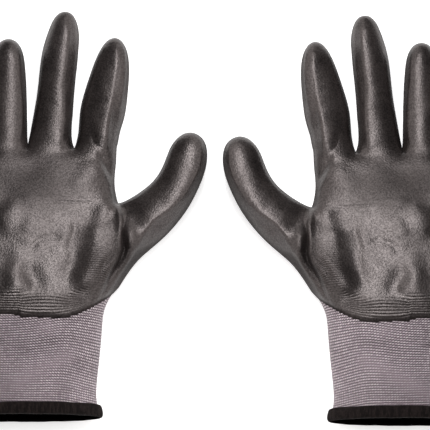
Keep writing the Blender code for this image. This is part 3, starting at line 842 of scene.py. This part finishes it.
def make_hem():
    """A band of thread wrapped over the cuff's edge, its section a rounded oblong."""
    columns, sides = HEM_GRID
    out, up = hem_section(sides)
    grid, around = tube((HEM_LOW + HEM_HIGH) / 2 + (HEM_HIGH - HEM_LOW) / 2 * up, columns)
    base, _ = tube(np.array([CUFF_LOW, CUFF_LOW + 1.0]), columns)
    across = normals_of(base.reshape(-1, 3), tube_quads(2, columns))[:columns]
    along = np.linspace(0, around, columns, endpoint=False)
    turns = round(around / WRAP) * along / around + 0.25 * up[:, None]
    thread = np.abs(np.sin(math.pi * turns))
    uneven = 0.25 * np.sin(along / 3.7) + 0.2 * np.sin(along / 1.9 + 1.0)
    reach = (out[:, None] + HEM_OUT) + np.sign(out)[:, None] * (0.22 * thread + 0.12 * uneven)
    points = grid + across[None] * reach[..., None]
    points[..., 1] += 0.12 * (thread - 0.5) * np.sign(up)[:, None] + 0.25 * uneven[None]
    points[..., 2] = np.maximum(points[..., 2], GROUND_GAP)
    points = points.reshape(-1, 3)
    quads = tube_quads(sides, columns, closed=True)
    normals = normals_of(points, quads)
    if (normals[:columns] * across).sum() < 0:
        quads, normals = quads[:, ::-1], -normals
    pattern = np.column_stack([np.tile(along, sides), np.repeat(up * 4, columns)])
    # painted shade: 1 on the side of the hem that faces into the cuff, which hem_material paints almost
    # black and makes less shiny
    inner = np.repeat(smooth(0.5 - out / HEM_HALF), columns)
    return "hem_thread", points, quads, normals, pattern, {"inner": inner}, "hem"


# ======================================== materials
class Nodes:
    """A short way to wire a Principled material. Bump distances are in metres."""

    def __init__(self, name):
        self.material = bpy.data.materials.new(name)
        self.material.use_nodes = True
        self.tree = self.material.node_tree
        self.shader = self.tree.nodes["Principled BSDF"]

    def add(self, kind, **settings):
        node = self.tree.nodes.new(kind)
        for key, value in settings.items():
            setattr(node, key, value)
        return node

    def feed(self, socket, value):
        if isinstance(value, bpy.types.NodeSocket):
            self.tree.links.new(value, socket)
        else:
            socket.default_value = value

    def math(self, operation, *values):
        node = self.add("ShaderNodeMath", operation=operation)
        for socket, value in zip(node.inputs, values):
            self.feed(socket, value)
        return node.outputs[0]

    def mix(self, share, first, second):
        node = self.add("ShaderNodeMix", data_type="RGBA")
        self.feed(node.inputs["Factor"], share)
        self.feed(node.inputs["A"], first)
        self.feed(node.inputs["B"], second)
        return node.outputs["Result"]

    def range(self, value, low, high, to_low, to_high):
        node = self.add("ShaderNodeMapRange", interpolation_type="SMOOTHSTEP")
        for socket, entry in zip(node.inputs, (value, low, high, to_low, to_high)):
            self.feed(socket, entry)
        return node.outputs[0]

    def noise(self, scale, detail=3.0, roughness=0.55, stretch=None):
        coords = self.add("ShaderNodeTexCoord").outputs["Object"]
        if stretch:
            mapping = self.add("ShaderNodeMapping")
            self.feed(mapping.inputs["Vector"], coords)
            mapping.inputs["Scale"].default_value = stretch
            coords = mapping.outputs[0]
        node = self.add("ShaderNodeTexNoise")
        self.feed(node.inputs["Vector"], coords)
        node.inputs["Scale"].default_value = scale
        node.inputs["Detail"].default_value = detail
        node.inputs["Roughness"].default_value = roughness
        return node.outputs[0]

    def pattern(self):
        """Distance round the glove and distance up it, in millimetres."""
        uv = self.add("ShaderNodeUVMap", uv_map="pattern")
        split = self.add("ShaderNodeSeparateXYZ")
        self.feed(split.inputs[0], uv.outputs[0])
        return split.outputs[0], split.outputs[1]

    def attribute(self, name):
        return self.add("ShaderNodeAttribute", attribute_name=name).outputs["Fac"]

    def bump(self, height, distance, strength=1.0, under=None):
        node = self.add("ShaderNodeBump")
        self.feed(node.inputs["Height"], height)
        node.inputs["Distance"].default_value = distance
        node.inputs["Strength"].default_value = strength
        if under is not None:
            self.feed(node.inputs["Normal"], under)
        return node.outputs[0]

    def wave(self, value, period):
        """1 in the middle of each period and 0 at its ends."""
        turned = self.math("MULTIPLY", value, math.pi / period)
        return self.math("ABSOLUTE", self.math("SINE", turned))


COATING_COLOURS = ((0.0035, 0.0027, 0.0026, 1), (0.030, 0.0245, 0.0235, 1))
COATING_TINT = (1.0, 0.89, 0.875, 1)
# hem thread colours; the hem's inner side is painted in the first one, as painted shade
HEM_COLOURS = ((0.0008, 0.0006, 0.0006, 1), (0.0135, 0.0098, 0.0092, 1))
HEM_TINT = (1.0, 0.86, 0.84, 1)
# knit colours: the dark between the rows (painted shade in the gaps), the yarn, and the painted
# highlight on each stitch
LINER_COLOURS = ((0.050, 0.042, 0.046, 1), (0.150, 0.124, 0.134, 1), (0.26, 0.225, 0.24, 1))
CUFF_COLOURS = ((0.014, 0.010, 0.012, 1), (0.240, 0.192, 0.215, 1), (0.70, 0.62, 0.65, 1))
UNDER_COAT_COURSE, UNDER_COAT_WALE = 1.35, 1.0  # the knit's stitches as they show through
EDGE_ROW = 2.05  # from one ridge above the coating's edge to the next


def coating_knit(n):
    """(height of the knit under the coating, how much of it shows)"""
    u, v = n.pattern()
    warped = n.math("MULTIPLY_ADD", n.noise(90.0, 2.0), 0.8, v)
    course = n.wave(warped, UNDER_COAT_COURSE)
    stitch = n.wave(n.math("MULTIPLY_ADD", warped, 0.55, u), UNDER_COAT_WALE)
    stitch = n.math("MULTIPLY_ADD", stitch, 0.6, 0.4)
    shown = n.math("MULTIPLY_ADD", n.attribute("through"), 0.95, 0.05)
    return n.math("MULTIPLY", n.math("POWER", course, 0.8), stitch), shown


def coating_grain(n, knit, shown):
    """Specular level: a fine glitter, less in the gaps of the knit and where the coating is dull."""
    gaps = n.math("MULTIPLY", n.math("SUBTRACT", 1.0, knit), shown)
    grain = n.range(n.noise(1000.0, 2.0, 0.6), 0.36, 0.64, 0.39, 0.71)
    grain = n.math("MULTIPLY", grain, n.range(gaps, 0.2, 0.9, 1.25, 0.25))
    return n.math("MULTIPLY", grain, n.math("MULTIPLY_ADD", n.attribute("dull"), -0.8, 1.0))


def coating_material():
    n = Nodes("foamed_coating")
    blotch = n.noise(55.0, 4.0, 0.6)
    speckle = n.noise(1100.0, 2.0, 0.7)
    share = n.math("MULTIPLY_ADD", speckle, 0.7, n.math("MULTIPLY", blotch, 0.4))
    colour = n.mix(n.range(share, 0.35, 0.75, 0, 1), *COATING_COLOURS)
    n.feed(n.shader.inputs["Base Color"], colour)
    gloss = n.range(blotch, 0.3, 0.7, 0.29, 0.40)
    roughness = n.math("MULTIPLY_ADD", n.attribute("dull"), 0.55, gloss)
    n.feed(n.shader.inputs["Roughness"], roughness)
    knit, shown = coating_knit(n)
    n.feed(n.shader.inputs["Specular IOR Level"], coating_grain(n, knit, shown))
    n.feed(n.shader.inputs["Specular Tint"], COATING_TINT)
    normal = n.bump(n.noise(1000.0, 1.0), 0.00014)
    normal = n.bump(n.noise(330.0, 2.0), 0.00008, under=normal)
    normal = n.bump(n.math("MULTIPLY", knit, shown), 0.00012, under=normal)
    warped = n.math("MULTIPLY_ADD", n.noise(70.0, 2.0), 0.9, n.attribute("edge_rows"))
    ridges = n.math("MULTIPLY", n.wave(warped, EDGE_ROW), n.attribute("edge_band"))
    n.feed(n.shader.inputs["Normal"], n.bump(ridges, 0.00030, 0.9, normal))
    return n.material


def knit_material(name, course, wale, dark, light, painted_highlight):
    """Rows of slanting stitches: each stitch leans across its row, like a strand of rope. The middle of
    each stitch is drawn in a light colour as a painted highlight, and the gaps between the rows in a
    dark colour as painted shade.
    """
    n = Nodes(name)
    u, v = n.pattern()
    u = n.math("MULTIPLY_ADD", n.noise(140.0, 2.0), 0.5, u)
    v = n.math("MULTIPLY_ADD", n.noise(120.0, 2.0), 0.35, v)
    number = n.math("FLOOR", n.math("DIVIDE", v, course))
    turns = n.math("MULTIPLY_ADD", number, 0.06, n.math("DIVIDE", u, wale))
    within = n.math("SUBTRACT", n.math("FRACT", turns), 0.5)
    leaning = n.math("MULTIPLY_ADD", within, -0.42 * course, v)
    row = n.wave(leaning, course)
    stitch = n.math("COSINE", n.math("MULTIPLY", within, 2.6))
    # painted shade: the gaps between the rows of stitches are drawn in the dark colour
    body = n.range(row, 0.15, 0.80, 0.0, 1.0)
    colour = n.mix(body, dark, light)
    # painted highlight: the middle of each stitch, along the middle of its row, is drawn in the light
    # third colour
    bright = n.math("MULTIPLY", n.range(stitch, 0.35, 0.98, 0, 1), n.range(row, 0.55, 0.98, 0, 1))
    bright = n.math("MULTIPLY", bright, n.range(n.noise(900.0, 1.0), 0.35, 0.6, 0.15, 1.0))
    colour = n.mix(bright, colour, painted_highlight)
    wear = n.range(n.noise(38.0, 3.0), 0.35, 0.75, 0.0, 0.25)
    colour = n.mix(wear, colour, dark)
    colour = n.mix(n.math("MULTIPLY", n.attribute("worn"), 0.6), colour, light)
    n.feed(n.shader.inputs["Base Color"], colour)
    n.feed(n.shader.inputs["Roughness"], 0.85)
    n.feed(n.shader.inputs["Specular IOR Level"], 0.25)
    n.feed(n.shader.inputs["Sheen Weight"], 0.12)
    height = n.math("MULTIPLY", row, n.math("MULTIPLY_ADD", stitch, 0.7, 0.3))
    normal = n.bump(n.noise(2600.0, 2.0), 0.00008, 0.6)
    n.feed(n.shader.inputs["Normal"], n.bump(height, 0.00030, 0.8, normal))
    return n.material


def hem_material():
    n = Nodes("hem_thread")
    u, v = n.pattern()
    thread = n.wave(n.math("MULTIPLY_ADD", v, 0.05, u), WRAP)
    fuzz = n.range(n.noise(1500.0, 2.0), 0.3, 0.7, 0.3, 1.0)
    strands = n.range(n.noise(620.0, 2.0, 0.6, (1.0, 0.3, 0.3)), 0.38, 0.62, 0.25, 1.9)
    # painted shade: the thread is painted almost black, and shines less, on the hem's inner side
    outer = n.math("MULTIPLY", fuzz, n.math("MULTIPLY_ADD", n.attribute("inner"), -0.95, 1.0))
    outer = n.math("MULTIPLY", outer, strands)
    n.feed(n.shader.inputs["Base Color"], n.mix(n.math("MULTIPLY", thread, outer), *HEM_COLOURS))
    n.feed(n.shader.inputs["Roughness"], 0.85)
    level = n.math("MULTIPLY_ADD", n.attribute("inner"), -0.19, 0.2)
    n.feed(n.shader.inputs["Specular IOR Level"], level)
    n.feed(n.shader.inputs["Specular Tint"], HEM_TINT)
    normal = n.bump(n.noise(2200.0, 2.0), 0.0001, 0.7)
    n.feed(n.shader.inputs["Normal"], n.bump(thread, 0.00015, 0.8, normal))
    return n.material


MATERIALS = {  # material and slot of each kind of piece
    "coating": (coating_material(), "coating"),
    "knit": (knit_material("liner_knit", 1.3, 1.5, *LINER_COLOURS), "knit"),
    "cuff": (knit_material("cuff_knit", COURSE, 1.6, *CUFF_COLOURS), "knit"),
    "hem": (hem_material(), "hem_thread"),
}


# ======================================== assembly
WRIST_REACH, ROOT_REACH, MIDDLE_REACH = 15.0, 10.5, 11.0  # lengths along the moving part that hinge_span reaches from each joint


def hinge_span(joint, reach, way=None):
    """Two points for a joint: one on its axis, and one this far along the moving part."""
    found = next(j for j in frame["joints"] if j["name"] == joint)
    start = Vector(found["pos_m"])
    beyond = Vector(way) if way else Vector((0, 0, 1)).cross(Vector(found["axis"]))
    beyond.z = 0
    return start, start + beyond.normalized() * reach * MM


def attach(obj, side, name):
    if name.startswith("palm") or name.startswith("hem"):
        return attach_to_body(obj, f"{side}_cuff" if name.startswith("hem") else f"{side}_hand")
    if name.startswith("cuff"):
        span = hinge_span(f"{side}_wrist", WRIST_REACH, (0, -1, 0))
        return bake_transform(obj)
    finger, length = name.split("_")[:2]
    near = "base" if finger == "thumb" else "knuckle"
    if length == "lower":
        span = hinge_span(f"{side}_{finger}_{near}", ROOT_REACH)
        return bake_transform(obj)
    span = hinge_span(f"{side}_{finger}_middle", MIDDLE_REACH)
    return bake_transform(obj)


def nodes_for(side, name):
    """The CAD nodes that a drawn piece stands for."""
    if name == "palm_coating":
        return [f"{side}_palm_coating"]
    if name == "palm_knit":
        return [f"{side}_hand_liner"]
    if name == "cuff_knit":
        return [f"{side}_knit_cuff", f"{side}_cuff_elastic"]
    if name == "hem_thread":
        return [f"{side}_hem_overlock"]
    return [f"{side}_{name.replace('_knit', '_liner')}"]


for part in [*make_glove_parts(), make_cuff(), make_hem()]:
    name, kind = part[0], part[-1]
    material, slot = MATERIALS[kind]
    for side in ("right", "left"):
        piece = add_piece(name, side, *part[1:-1], material, slot)
        attach(piece, side, name)
        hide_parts(*nodes_for(side, name))


# ======================================== studio
def paper_material():
    n = Nodes("white_paper")
    n.feed(n.shader.inputs["Base Color"], (0.90, 0.90, 0.90, 1))
    n.feed(n.shader.inputs["Roughness"], 0.9)
    n.feed(n.shader.inputs["Specular IOR Level"], 0.1)
    n.feed(n.shader.inputs["Emission Color"], (1, 1, 1, 1))
    n.feed(n.shader.inputs["Emission Strength"], 0.55)
    return n.material


def add_floor():
    bpy.ops.mesh.primitive_plane_add(size=12.0, location=(0, 0, -0.0004))
    floor = bpy.context.object
    floor.name = "studio_floor"
    floor.data.materials.append(paper_material())


def add_light(name, place, target, size, power, colour=(1, 1, 1)):
    data = bpy.data.lights.new(name, "AREA")
    data.shape = "RECTANGLE"
    data.size, data.size_y = size
    data.energy = power
    data.color = colour
    light = bpy.data.objects.new(name, data)
    light.location = place
    aim = Vector(target) - Vector(place)
    light.rotation_euler = aim.to_track_quat("-Z", "Y").to_euler()
    light.visible_camera = False
    bpy.context.scene.collection.objects.link(light)


def add_world(colour, strength):
    world = bpy.data.worlds.new("studio")
    world.use_nodes = True
    background = world.node_tree.nodes["Background"]
    background.inputs["Color"].default_value = (*colour, 1)
    background.inputs["Strength"].default_value = strength
    bpy.context.scene.world = world


VIEW_WIDTH, VIEW_DISTANCE = 0.258, 3.0  # metres, across the picture and from the gloves
VIEW_Y = 2.1  # the picture's middle, as a length along the gloves


def add_camera():
    data = bpy.data.cameras.new("camera")
    data.sensor_width = 36.0
    data.lens = data.sensor_width * VIEW_DISTANCE / VIEW_WIDTH
    data.clip_end = 20.0
    camera = bpy.data.objects.new("camera", data)
    target = Vector((0, VIEW_Y * LENGTHEN * MM, PLAN_Z * MM))
    aim = Vector((0, math.sin(TILT), -math.cos(TILT)))
    camera.location = target - aim * VIEW_DISTANCE
    camera.rotation_euler = aim.to_track_quat("-Z", "Y").to_euler()
    bpy.context.scene.collection.objects.link(camera)
    bpy.context.scene.camera = camera


add_floor()
add_world((1.0, 1.0, 1.0), 0.08)
add_light("overhead_softbox", (0.0, 0.45, 1.0), (0, 0.45, 0), (0.29, 1.14), 10.6)
for name, way in (("centre_left", -1.0), ("centre_right", 1.0)):  # these light the gloves' inner sides
    add_light(name, (0.0, 0.05, 0.235), (way, 0.05, 0.235), (1.3, 0.41), 2.0, (1.0, 0.97, 0.95))
add_camera()

scene = bpy.context.scene
scene.view_settings.view_transform = "Standard"
scene.view_settings.look = "None"
